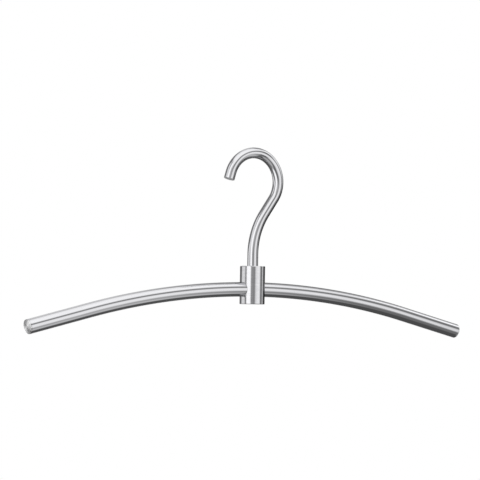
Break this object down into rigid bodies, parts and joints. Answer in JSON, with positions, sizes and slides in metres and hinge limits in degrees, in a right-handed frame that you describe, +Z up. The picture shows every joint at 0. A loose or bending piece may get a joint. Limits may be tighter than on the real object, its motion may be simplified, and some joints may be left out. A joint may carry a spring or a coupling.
{
  "type": "stainless steel clothes hanger",
  "caption": "Clothes hanger: an arched round steel tube with capped ends through a turned hub, and a swivelling question-mark hook of round rod.",
  "frame": {"origin": "the point at the crown of the hook's crook, on its inner side, where the wardrobe rail carries the hanger", "axes": "+Z up along the hub's axis, +X along the bow towards its right end, +Y towards the back, through the crook"},
  "size_m": [0.45, 0.022, 0.1654],
  "materials": {
    "hook_steel": "brushed along the rod",
    "hub_steel": "turned and brushed round the axis",
    "bow_steel": "brushed along the tube",
    "cap_steel": "face-turned, fine rings",
    "screw_steel": "plain, dull",
    "bush_acetal": "moulded, satin"
  },
  "bodies": {
    "hook_body": {"hook": "hook_steel"},
    "bow_body": {"hub": "hub_steel", "bow_tube": "bow_steel", "left_end_cap": "cap_steel", "right_end_cap": "cap_steel", "pivot_bush": "bush_acetal", "hook_retaining_screw": "screw_steel", "bow_clamp_screw": "screw_steel"}
  },
  "joints": [
    {"name": "hook_swivel", "type": "hinge", "parent": "hook_body", "child": "bow_body", "pos_m": [0, 0, -0.10367], "axis": [0, 0, 1], "continuous": true}
  ]
}
